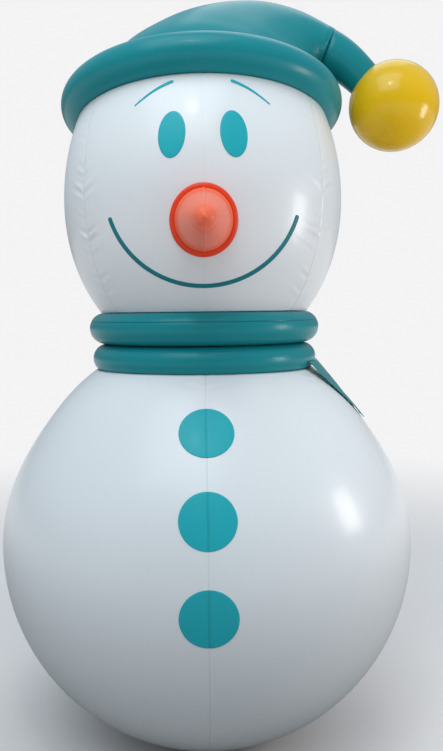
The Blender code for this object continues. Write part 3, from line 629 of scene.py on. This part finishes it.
def build_nose():
    """A long drooping cone with a seam down its front, a knob at its tip and a rolled rim."""
    turns = np.linspace(0, FULL_TURN, 145)[:-1]
    line = smooth_line(NOSE_OUTLINE, 7)
    off_seam = np.abs(np.cos(turns))
    rows = []
    for share, along in line:
        distance = off_seam * share * NOSE_WIDTH
        ridge = 0.032 * np.exp(-(distance / 0.0022) ** 2) * min(1.0, 2.5 * share)
        below = np.clip(-1.3 * np.sin(turns) - 0.3, 0, 1)
        fold = 0.034 * math.exp(-((along - NOSE_FOLD) / 0.013) ** 2) * below
        rows.append(nose_ring(share, along, turns, ridge - fold))
    # The cone's lighter salmon colour is partly the vinyl's orange and partly painted sheen.
    cone = grid_object("nose_cone_skin", np.array(rows), NOSE_ORANGE_PAINTED_SHEEN, fan_last=True)
    dress(cone, "figure", "orange_vinyl", "nose_cone")
    rows = []
    for angle in np.linspace(0, math.pi, 15):
        share = 0.905 + 0.105 * math.cos(angle)
        lift = 0.010 * math.sin(angle)
        x = -NOSE_WIDTH * share * np.cos(turns)
        z = NOSE_Z + NOSE_HEIGHT * share * np.sin(turns)
        rows.append(face_points(x, z, np.full_like(x, 0.0004 + lift)))
    # The rim is the cone's real welded flange; its darker red is painted shade where it faces sideways.
    rim = grid_object("nose_rim", np.array(rows), NOSE_RIM_PAINTED_SHADE)
    dress(rim, "figure", "orange_vinyl")


EYE_X = 0.095
EYE_Z = 2.104
EYE_HALF_WIDTH = 0.042
EYE_HALF_HEIGHT = 0.0735
EYE_LEAN = 0.005                        # how far an eye's top leans in


def build_eye(name, side):
    """An upright oval patch, leaning slightly."""
    turns = np.linspace(0, FULL_TURN, 97)[:-1]
    edge = [(1.0, 0.0), (1.0, 0.0010)]
    rows = []
    for share, lift in edge + [(share, 0.0014) for share in (0.98, 0.8, 0.55, 0.3, 0.1)]:
        rise = EYE_HALF_HEIGHT * share * np.sin(turns)
        lean_in = side * EYE_LEAN * rise / EYE_HALF_HEIGHT
        x = side * EYE_X - EYE_HALF_WIDTH * share * np.cos(turns) - lean_in
        rows.append(face_points(x, EYE_Z + rise, np.full_like(x, lift)))
    eye = grid_object(name + "_patch", np.array(rows), PRINT, fan_last=True)
    dress(eye, "figure", "teal_vinyl", name)


def build_stroke(name, line, widths, material):
    """A printed line on the face: a thin strip with round ends."""
    line = np.asarray(line, float)
    along = np.gradient(line, axis=0)
    along /= np.linalg.norm(along, axis=1, keepdims=True)
    side = np.stack([-along[:, 1], along[:, 0]], axis=1)
    distance = np.concatenate([[0], np.cumsum(np.linalg.norm(np.diff(line, axis=0), axis=1))])
    from_end = np.minimum(distance, distance[-1] - distance)
    half = np.asarray(widths) / 2
    round_end = np.sqrt(np.clip(1 - (1 - np.clip(from_end / half, 0, 1)) ** 2, 0.0004, 1))
    rows = []
    across = ((-1, -0.0002), (-1, 0.0008), (-0.9, 0.0012), (0, 0.0013), (0.9, 0.0012), (1, 0.0008),
              (1, -0.0002))
    for share, lift in across:
        point = line + side * (half * round_end * share)[:, None]
        rows.append(face_points(point[:, 0], point[:, 1], np.full(len(point), lift)))
    stroke = grid_object(name + "_print", np.array(rows)[::-1], material, wrap=False)
    dress(stroke, "figure", "teal_vinyl", name)


def closer_at_ends(first, near_first, near_last, last, count):
    """Values from first to last that lie closer together at both ends."""
    middle = np.linspace(near_first, near_last, count)[1:-1]
    return np.concatenate([np.linspace(first, near_first, 8), middle, np.linspace(near_last, last, 8)])


MOUTH_R = 0.313
MOUTH_CENTRE_Z = 1.957
MOUTH_HALF_ANGLE = math.radians(73)
MOUTH_WIDTH = 0.0130
BROW_X = 0.089                          # at the brow's inner end
BROW_Z = 2.280
BROW_LENGTH = 0.123
BROW_FALL = 0.072
BROW_ARCH = 0.008
BROW_WIDTH = 0.011
BROW_TAPER = 0.0065


def build_mouth():
    """A thin smile: part of a circle round a point between the eyes and the nose."""
    angle = closer_at_ends(-1, -0.985, 0.985, 1, 120) * MOUTH_HALF_ANGLE
    line = np.stack([MOUTH_R * np.sin(angle), MOUTH_CENTRE_Z - MOUTH_R * np.cos(angle)], axis=1)
    build_stroke("mouth", line, np.full(len(line), MOUTH_WIDTH), MOUTH_INK)


def build_brows():
    """Two arched strokes that fall and taper outwards."""
    for name, side in (("brow_right", 1), ("brow_left", -1)):
        share = closer_at_ends(0, 0.04, 0.97, 1, 50)
        x = side * (BROW_X + BROW_LENGTH * share)
        z = BROW_Z - BROW_FALL * share + BROW_ARCH * np.sin(math.pi * share)
        widths = BROW_WIDTH - BROW_TAPER * share
        if side < 0:
            x, z, widths = x[::-1], z[::-1], widths[::-1]
        build_stroke(name, np.stack([x, z], axis=1), widths, PRINT)


# Hat

CROWN_OUTER = [
    (-0.378, 0.000), (-0.376, 0.060), (-0.352, 0.130), (-0.308, 0.190), (-0.230, 0.252),
    (-0.100, 0.328), (0.055, 0.380), (0.210, 0.397), (0.360, 0.372), (0.490, 0.312),
]
CROWN_INNER = [
    (0.378, 0.000), (0.378, 0.020), (0.380, 0.040), (0.383, 0.058), (0.388, 0.075),
    (0.393, 0.092), (0.399, 0.107), (0.406, 0.121), (0.414, 0.134), (0.424, 0.148),
]
CREASE = Vector((0.4645, 0.0, 0.2270))
CREASE_R = 0.087
CREASE_SLOPE = math.radians(22)
TAIL_END_SLOPE = math.radians(43)
TAIL_END_R = 0.065
TAIL_BULGE = 0.014
POMPOM = Vector((0.712, 0.0, 0.016))
POMPOM_R = 0.1630
HAT_CENTRE = Vector(lean((0.0, 0.0, BRIM["z"])).tolist())
HAT = Matrix.Translation(HAT_CENTRE) @ Matrix.Rotation(-HAT_TILT, 4, "X")


def tail_sides():
    """Upper and lower points of the tail's sections in the hat's frame."""
    direction = Vector((math.cos(TAIL_END_SLOPE), 0.0, -math.sin(TAIL_END_SLOPE)))
    finish = POMPOM - direction * (math.sqrt(POMPOM_R ** 2 - TAIL_END_R ** 2) - 0.010)
    upper, lower = [], []
    for i in range(6):
        share = i / 5
        slope = CREASE_SLOPE + (TAIL_END_SLOPE - CREASE_SLOPE) * share
        centre = CREASE.lerp(finish, share) + Vector((0.0, 0.0, TAIL_BULGE)) * math.sin(math.pi * share)
        side = Vector((math.sin(slope), 0.0, math.cos(slope))) * (CREASE_R + (TAIL_END_R - CREASE_R) * share)
        upper.append(((centre + side).x, (centre + side).z))
        lower.append(((centre - side).x, (centre - side).z))
    return upper, lower


def build_crown():
    """Crown and tail as one skin that folds at the crease, with tension wrinkles above the fold."""
    upper, lower = tail_sides()
    steps = 14
    outer = smooth_line(CROWN_OUTER + upper, steps)
    inner = smooth_line(CROWN_INNER + lower, steps)
    fold_row = len(CROWN_OUTER) * steps
    centres = (outer + inner) / 2
    along = np.concatenate([[0], np.cumsum(np.linalg.norm(np.diff(centres, axis=0), axis=1))])
    past_fold = (along - along[fold_row])[:, None]
    turns = np.linspace(0, FULL_TURN, 161)[:-1]
    half = (inner - outer) / 2
    radius = np.linalg.norm(half, axis=1)[:, None]
    across = half / radius
    front = np.clip(-np.sin(turns), 0, 1)[None, :]
    top = np.clip(-np.cos(turns), 0, 1)[None, :]
    fold = -0.015 * np.exp(-np.abs(past_fold) / 0.007) * (1 - top)
    fold = fold - 0.010 * (1 - top) * np.where(past_fold > 0, np.exp(-past_fold / 0.120), 0.0)
    ripple = np.cos(past_fold * FULL_TURN / 0.021 + 2.2 * np.cos(turns)[None, :])
    wrinkle = 0.0052 * np.where(past_fold < 0, np.exp(past_fold / 0.028), 0.0) * ripple
    wrinkle = wrinkle * np.sqrt(front + 0.1) * (1 - top)
    reach = radius + fold + wrinkle
    x = centres[:, :1] + across[:, :1] * reach * np.cos(turns)
    z = centres[:, 1:] + across[:, 1:] * reach * np.cos(turns) + GAP
    y = reach * np.sin(turns)
    points = np.stack([x, y, z], axis=-1)
    crown = grid_object("hat_crown_skin", points[:, ::-1], TEAL)
    crown.data.transform(HAT)
    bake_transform(crown)
    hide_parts("hat_crown", "hat_tail")


def build_pompom():
    """A ball of gores whose seams meet where the tail runs into it."""
    turns = gore_azimuths(POMPOM_R, 14)
    polar = np.linspace(0.04, math.pi - 0.04, 110)
    profile = np.stack([POMPOM_R * np.sin(polar), POMPOM_R * np.cos(polar)], axis=1)

    def relief(azimuth, radius, height):
        return weld(seam_distance(azimuth, radius), 0.0003, 0.0022)

    ball = grid_object("hat_pompom_skin", revolve(profile, turns, relief), YELLOW, fan_last=True)
    turn = Matrix.Rotation(TAIL_END_SLOPE - math.pi / 2, 4, "Y")
    ball.data.transform(HAT @ Matrix.Translation(POMPOM) @ turn)
    dress(ball, "hat_tail", "yellow_vinyl", "hat_pompom")


# Valve, ballast port and tie-downs

def turned_piece(name, profile, material, place, ribs=0, rib_height=0.0, ribbed=(0.0, 0.0)):
    """A closed moulded round piece; ribs run along the part of its side between two heights."""
    count = 144
    turns = np.linspace(0, FULL_TURN, count + 1)[:-1]
    rows = []
    for radius, height in profile:
        reach = np.full(count, radius)
        if ribs and ribbed[0] <= height <= ribbed[1]:
            reach = reach - rib_height * (0.5 + 0.5 * np.cos(turns * ribs))
        level = np.full(count, height)
        rows.append(np.stack([reach * np.sin(turns), -reach * np.cos(turns), level], axis=-1))
    obj = grid_object(name, np.array(rows + rows[:1]), material)
    merge_close(obj.data, 0.00002)
    obj.data.shade_smooth()
    obj.data.set_sharp_from_angle(angle=math.radians(35))
    obj.data.transform(place)
    return obj


def build_fitting(name, body, profile, place, *ribs):
    """One white moulded fitting from its (r, z) profile, which runs down its outer side."""
    piece = turned_piece(name + "_moulding", profile, WHITE_PLASTIC, place, *ribs)
    dress(piece, body, "white_plastic", name)


def build_fittings():
    """The air valve's flange and cap, and the ballast's port and cap."""
    flange = [
        (0.0130, 0.0115), (0.0135, 0.0120), (0.0175, 0.0120), (0.0180, 0.0115), (0.0180, 0.0048),
        (0.0188, 0.0040), (0.0392, 0.0040), (0.0400, 0.0034), (0.0400, 0.0010), (0.0190, 0.0010),
        (0.0190, -0.0160), (0.0050, -0.0160), (0.0050, -0.0130), (0.0130, -0.0130),
    ]
    build_fitting("valve_flange", "figure", flange, AIR_VALVE_FRAME)
    cap = [
        (0.0, 0.0186), (0.0060, 0.0186), (0.0145, 0.0186), (0.0150, 0.0190), (0.0205, 0.0190),
        (0.0222, 0.0187), (0.0232, 0.0175), (0.0235, 0.0160), (0.0235, 0.0100), (0.0235, 0.0060),
        (0.0235, 0.0046), (0.0184, 0.0046), (0.0184, 0.0130), (0.0, 0.0130),
    ]
    build_fitting("valve_cap", "valve_cap", cap, AIR_VALVE_FRAME, 36, 0.0009, (0.0055, 0.0165))
    port = [
        (0.0110, 0.0095), (0.0115, 0.0100), (0.0155, 0.0100), (0.0160, 0.0095), (0.0160, 0.0048),
        (0.0168, 0.0040), (0.0312, 0.0040), (0.0320, 0.0034), (0.0320, 0.0010), (0.0160, 0.0010),
        (0.0160, -0.0160), (0.0110, -0.0160),
    ]
    build_fitting("ballast_port", "figure", port, BALLAST_FRAME)
    cap = [
        (0.0, 0.0146), (0.0060, 0.0146), (0.0125, 0.0146), (0.0130, 0.0150), (0.0185, 0.0150),
        (0.0200, 0.0147), (0.0208, 0.0136), (0.0210, 0.0120), (0.0210, 0.0080), (0.0210, 0.0060),
        (0.0210, 0.0046), (0.0164, 0.0046), (0.0164, 0.0108), (0.0, 0.0108),
    ]
    build_fitting("ballast_cap", "ballast_cap", cap, BALLAST_FRAME, 30, 0.0008, (0.0055, 0.0125))


SPRING = {"wire": 0.0006, "radius": 0.0068, "low": -0.0122, "high": 0.0033, "turns": 5}


def build_valve_spring():
    """The poppet's coil spring; its end turns lie flat."""
    curve = bpy.data.curves.new("valve_spring_coil", "CURVE")
    curve.dimensions = "3D"
    curve.bevel_depth = SPRING["wire"]
    curve.bevel_resolution = 3
    curve.use_fill_caps = True
    per_turn = 24
    steps = SPRING["turns"] * per_turn
    spline = curve.splines.new("POLY")
    spline.points.add(steps)
    for i, point in enumerate(spline.points):
        turn = FULL_TURN * i / per_turn
        share = min(1.0, max(0.0, (i - per_turn) / (steps - 2 * per_turn)))
        height = SPRING["low"] + (SPRING["high"] - SPRING["low"]) * share
        point.co = (SPRING["radius"] * math.cos(turn), SPRING["radius"] * math.sin(turn), height, 1.0)
    curve.materials.append(STEEL)
    coil = curve_to_mesh("valve_spring_coil", curve, AIR_VALVE_FRAME)
    dress(coil, "figure", "steel", "valve_spring")
    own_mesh(coil)


def curve_to_mesh(name, curve, place):
    """A curve's tube as a mesh object, put in its place."""
    source = bpy.data.objects.new(name + "_curve", curve)
    bpy.context.scene.collection.objects.link(source)
    bpy.context.view_layer.update()
    mesh = bpy.data.meshes.new_from_object(source.evaluated_get(bpy.context.evaluated_depsgraph_get()))
    bpy.data.objects.remove(source)
    merge_close(mesh)
    mesh.transform(place)
    mesh.shade_smooth()
    obj = bpy.data.objects.new(name, mesh)
    bpy.context.scene.collection.objects.link(obj)
    return obj


TIE_DOWNS = {"right_front": 110.0, "right_rear": 155.0, "left_rear": 205.0, "left_front": 250.0}
TIE_LATITUDE = -13.0
TIE_PATCH_R = 0.050
BAR_HALF = 0.0165                       # half the D-ring's straight side
LEG = 0.0080
CORNER = 0.003
WIRE_R = 0.0025
LOOP_WIDTH = 0.025
LOOP_OUTER = 0.0065
LOOP_BASE = 0.0028
TAPE_THICKNESS = 0.0012


def build_tie_down(place, azimuth):
    """A round patch, its webbing loop and a D-ring that hangs from the loop."""
    seat = body_frame(azimuth, TIE_LATITUDE)
    edge = [(0.97, 0.0024), (1.0, 0.0018), (1.0, 0.0004)]
    profile = []
    for share, lift in [(share, 0.0025) for share in (0.0, 0.3, 0.6, 0.9)] + edge:
        reach = BODY_R + lift
        angle = TIE_PATCH_R / BODY_R * share
        profile.append((reach * math.sin(angle), reach * math.cos(angle) - BODY_R))
    patch = turned_piece("tie_patch_film_" + place, profile, WHITE, seat)
    dress(patch, "figure", "white_vinyl", "tie_patch_" + place)
    build_webbing(place, seat)
    centre = LOOP_BASE + LOOP_OUTER
    hang = Matrix.Rotation(math.radians(TIE_LATITUDE), 4, "X")
    hinge = seat @ Matrix.Translation((0.0, 0.0, centre)) @ hang
    curve = bpy.data.curves.new("tie_ring_wire_" + place, "CURVE")
    curve.dimensions = "3D"
    curve.bevel_depth = WIRE_R
    curve.bevel_resolution = 4
    points = [(-BAR_HALF + CORNER, 0.0), (0.0, 0.0), (BAR_HALF - CORNER, 0.0), (BAR_HALF - 0.0008, -0.0008),
              (BAR_HALF, -CORNER)]
    for i in range(25):
        angle = -math.pi * i / 24
        points.append((BAR_HALF * math.cos(angle), -LEG + BAR_HALF * math.sin(angle)))
    points += [(-BAR_HALF, -CORNER), (-BAR_HALF + 0.0008, -0.0008)]
    spline = curve.splines.new("POLY")
    spline.points.add(len(points) - 1)
    spline.use_cyclic_u = True
    for point, (x, y) in zip(spline.points, points):
        point.co = (x, y, 0.0, 1.0)
    curve.materials.append(STEEL)
    ring = curve_to_mesh("tie_ring_bow_" + place, curve, hinge)
    dress(ring, "tie_ring_" + place, "steel", "tie_ring_" + place)


def build_webbing(place, seat):
    """Webbing folded round the ring's bar: a closed outline swept across its width."""
    centre = LOOP_BASE + LOOP_OUTER
    line = [(0.034, LOOP_BASE + 0.0014), (0.020, LOOP_BASE + 0.0018), (0.009, centre + 0.0022)]
    angles = np.radians(np.linspace(65, 270, 16))
    middle = LOOP_OUTER - TAPE_THICKNESS
    line += [(middle * math.cos(a), centre + middle * math.sin(a)) for a in angles]
    line += [(0.012, LOOP_BASE + 0.0007), (0.034, LOOP_BASE + 0.0006)]
    line = even_line(line, 90)
    along = np.gradient(line, axis=0)
    along /= np.linalg.norm(along, axis=1, keepdims=True)
    side = np.stack([-along[:, 1], along[:, 0]], axis=1)
    rows = []
    for across, lift in ((-0.5, 0.0), (-0.47, 0.5), (0.47, 0.5), (0.5, 0.0), (0.47, -0.5), (-0.47, -0.5)):
        point = line + side * TAPE_THICKNESS * lift
        rows.append(np.stack([np.full(len(line), across * LOOP_WIDTH), point[:, 0], point[:, 1]], axis=-1))
    points = np.array(rows).transpose(1, 0, 2)
    loop = grid_object("tie_loop_webbing_" + place, points, WEBBING, fan_last=True)
    shape = bmesh.new()
    shape.from_mesh(loop.data)
    bmesh.ops.holes_fill(shape, edges=[edge for edge in shape.edges if edge.is_boundary])
    bmesh.ops.recalc_face_normals(shape, faces=shape.faces)
    shape.to_mesh(loop.data)
    shape.free()
    loop.data.shade_smooth()
    loop.data.set_sharp_from_angle(angle=math.radians(40))
    loop.data.transform(seat)
    dress(loop, "figure", "webbing", "tie_loop_" + place)


def dress_cad_nodes():
    """Small and hidden pieces keep their CAD shape and get a finished material."""
    looks = {
        "base_pad": GREY_RUBBER, "valve_poppet": GREY_RUBBER, "ballast_bag": BLUE_PVC,
        "ballast_tube": BLUE_PVC, "valve_nut": WHITE_PLASTIC,
    }
    for name, material in looks.items():
        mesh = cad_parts[name].data
        mesh.materials.clear()
        mesh.materials.append(material)


# Stage

FLOOR_TONE = (0.34, 0.33, 0.32)           # what it throws back on the object
FLOOR_SEEN = (0.84, 0.79, 0.77)
BACKDROP = (0.90, 0.90, 0.91)


def area_light(name, location, target, size, power, colour=(1.0, 1.0, 1.0)):
    light = bpy.data.lights.new(name, "AREA")
    light.shape = "RECTANGLE"
    light.size, light.size_y = size
    light.energy = power
    light.color = colour
    obj = bpy.data.objects.new(name, light)
    obj.location = location
    obj.rotation_euler = (Vector(target) - Vector(location)).to_track_quat("-Z", "Y").to_euler()
    bpy.context.scene.collection.objects.link(obj)


def build_floor():
    """A pale floor whose far part fades into the backdrop's tone."""
    bpy.ops.mesh.primitive_plane_add(size=120)
    floor = bpy.context.object
    floor.name = "floor"
    material = bpy.data.materials.new("floor_paint")
    material.use_nodes = True
    tree = material.node_tree
    shader = tree.nodes["Principled BSDF"]
    path = tree.nodes.new("ShaderNodeLightPath")
    tone = tree.nodes.new("ShaderNodeMix")
    tone.data_type = "RGBA"
    tone.inputs[6].default_value = (*FLOOR_TONE, 1.0)
    tone.inputs[7].default_value = (*FLOOR_SEEN, 1.0)
    tree.links.new(path.outputs["Is Camera Ray"], tone.inputs[0])
    tree.links.new(tone.outputs[2], shader.inputs["Base Color"])
    shader.inputs["Roughness"].default_value = 0.9
    shader.inputs["Specular IOR Level"].default_value = 0.1
    place = tree.nodes.new("ShaderNodeTexCoord")
    length = tree.nodes.new("ShaderNodeVectorMath")
    length.operation = "LENGTH"
    fade = tree.nodes.new("ShaderNodeMapRange")
    fade.interpolation_type = "SMOOTHSTEP"
    fade.inputs["From Min"].default_value = 1.2
    fade.inputs["From Max"].default_value = 6.0
    glow = tree.nodes.new("ShaderNodeEmission")
    glow.inputs["Color"].default_value = (*BACKDROP, 1.0)
    blend = tree.nodes.new("ShaderNodeMixShader")
    tree.links.new(place.outputs["Object"], length.inputs[0])
    tree.links.new(length.outputs["Value"], fade.inputs["Value"])
    tree.links.new(fade.outputs["Result"], blend.inputs["Fac"])
    tree.links.new(shader.outputs["BSDF"], blend.inputs[1])
    tree.links.new(glow.outputs["Emission"], blend.inputs[2])
    tree.links.new(blend.outputs["Shader"], tree.nodes["Material Output"].inputs["Surface"])
    floor.data.materials.append(material)


def build_world():
    """A plain pale backdrop; the light it gives is brighter from above than from the side."""
    world = bpy.data.worlds.new("studio")
    world.use_nodes = True
    tree = world.node_tree
    sky = tree.nodes["Background"]
    sky.inputs["Strength"].default_value = 1.0
    place = tree.nodes.new("ShaderNodeTexCoord")
    split = tree.nodes.new("ShaderNodeSeparateXYZ")
    ramp = tree.nodes.new("ShaderNodeValToRGB")
    ramp.color_ramp.elements[0].position = 0.42
    ramp.color_ramp.elements[0].color = (0.12, 0.115, 0.125, 1.0)
    ramp.color_ramp.elements[1].position = 0.85
    ramp.color_ramp.elements[1].color = (0.52, 0.61, 0.68, 1.0)
    height = tree.nodes.new("ShaderNodeMapRange")
    height.inputs["From Min"].default_value = -1.0
    seen = tree.nodes.new("ShaderNodeBackground")
    seen.inputs["Color"].default_value = (*BACKDROP, 1.0)
    path = tree.nodes.new("ShaderNodeLightPath")
    blend = tree.nodes.new("ShaderNodeMixShader")
    tree.links.new(place.outputs["Generated"], split.inputs["Vector"])
    tree.links.new(split.outputs["Z"], height.inputs["Value"])
    tree.links.new(height.outputs["Result"], ramp.inputs["Fac"])
    tree.links.new(ramp.outputs["Color"], sky.inputs["Color"])
    tree.links.new(path.outputs["Is Camera Ray"], blend.inputs["Fac"])
    tree.links.new(sky.outputs["Background"], blend.inputs[1])
    tree.links.new(seen.outputs["Background"], blend.inputs[2])
    tree.links.new(blend.outputs["Shader"], tree.nodes["World Output"].inputs["Surface"])
    bpy.context.scene.world = world


def build_stage():
    """Soft light from above, a smaller one from the right, and a plain surround."""
    bpy.context.scene.view_settings.view_transform = "Standard"
    build_floor()
    build_world()
    area_light("key", (-0.9, -2.5, 5.8), (0.0, 0.0, 1.5), (4.0, 4.0), 125, (0.86, 0.97, 1.0))
    area_light("side", (3.02, -0.75, 1.65), (0.0, 0.0, 1.3), (0.65, 1.05), 24, (1.0, 0.96, 0.92))
    area_light("rear", (0.8, 1.8, 5.2), (0.0, 0.0, 1.9), (2.4, 2.4), 16)
    area_light("small", (-0.4, -2.4, 4.9), (0.0, 0.0, 2.2), (0.35, 0.35), 9)


def build_camera():
    """A camera at standing eye height, tipped slightly down and rolled by under a degree."""
    camera = bpy.data.cameras.new("camera")
    camera.sensor_fit = "VERTICAL"
    camera.sensor_height = 24.0
    camera.lens = 25.09
    camera.shift_x = 0.0297
    obj = bpy.data.objects.new("camera", camera)
    obj.location = (-0.02, -2.925, 1.561)
    pitch = Matrix.Rotation(math.radians(90 - 4.6), 4, "X")
    obj.rotation_euler = (pitch @ Matrix.Rotation(math.radians(-0.7), 4, "Z")).to_euler()
    bpy.context.scene.collection.objects.link(obj)
    bpy.context.scene.camera = obj


build_camera()
build_body()
for name, latitude in BUTTON_LATITUDES.items():
    build_button(name, latitude)
build_tube_ring("scarf_ring_lower", LOWER_RING, -52.0, TEAL)
build_tube_ring("scarf_ring_upper", UPPER_RING, 24.0, TEAL)
for name, place in STRIPS.items():
    build_strip(name, **place)
build_head()
build_nose()
build_eye("eye_right", 1)
build_eye("eye_left", -1)
build_mouth()
build_brows()
build_tube_ring("hat_brim", {**BRIM, "z": 0.0}, 150.0, TEAL, HAT)
build_crown()
build_pompom()
build_fittings()
build_valve_spring()
for place, azimuth in TIE_DOWNS.items():
    build_tie_down(place, azimuth)
dress_cad_nodes()
build_stage()
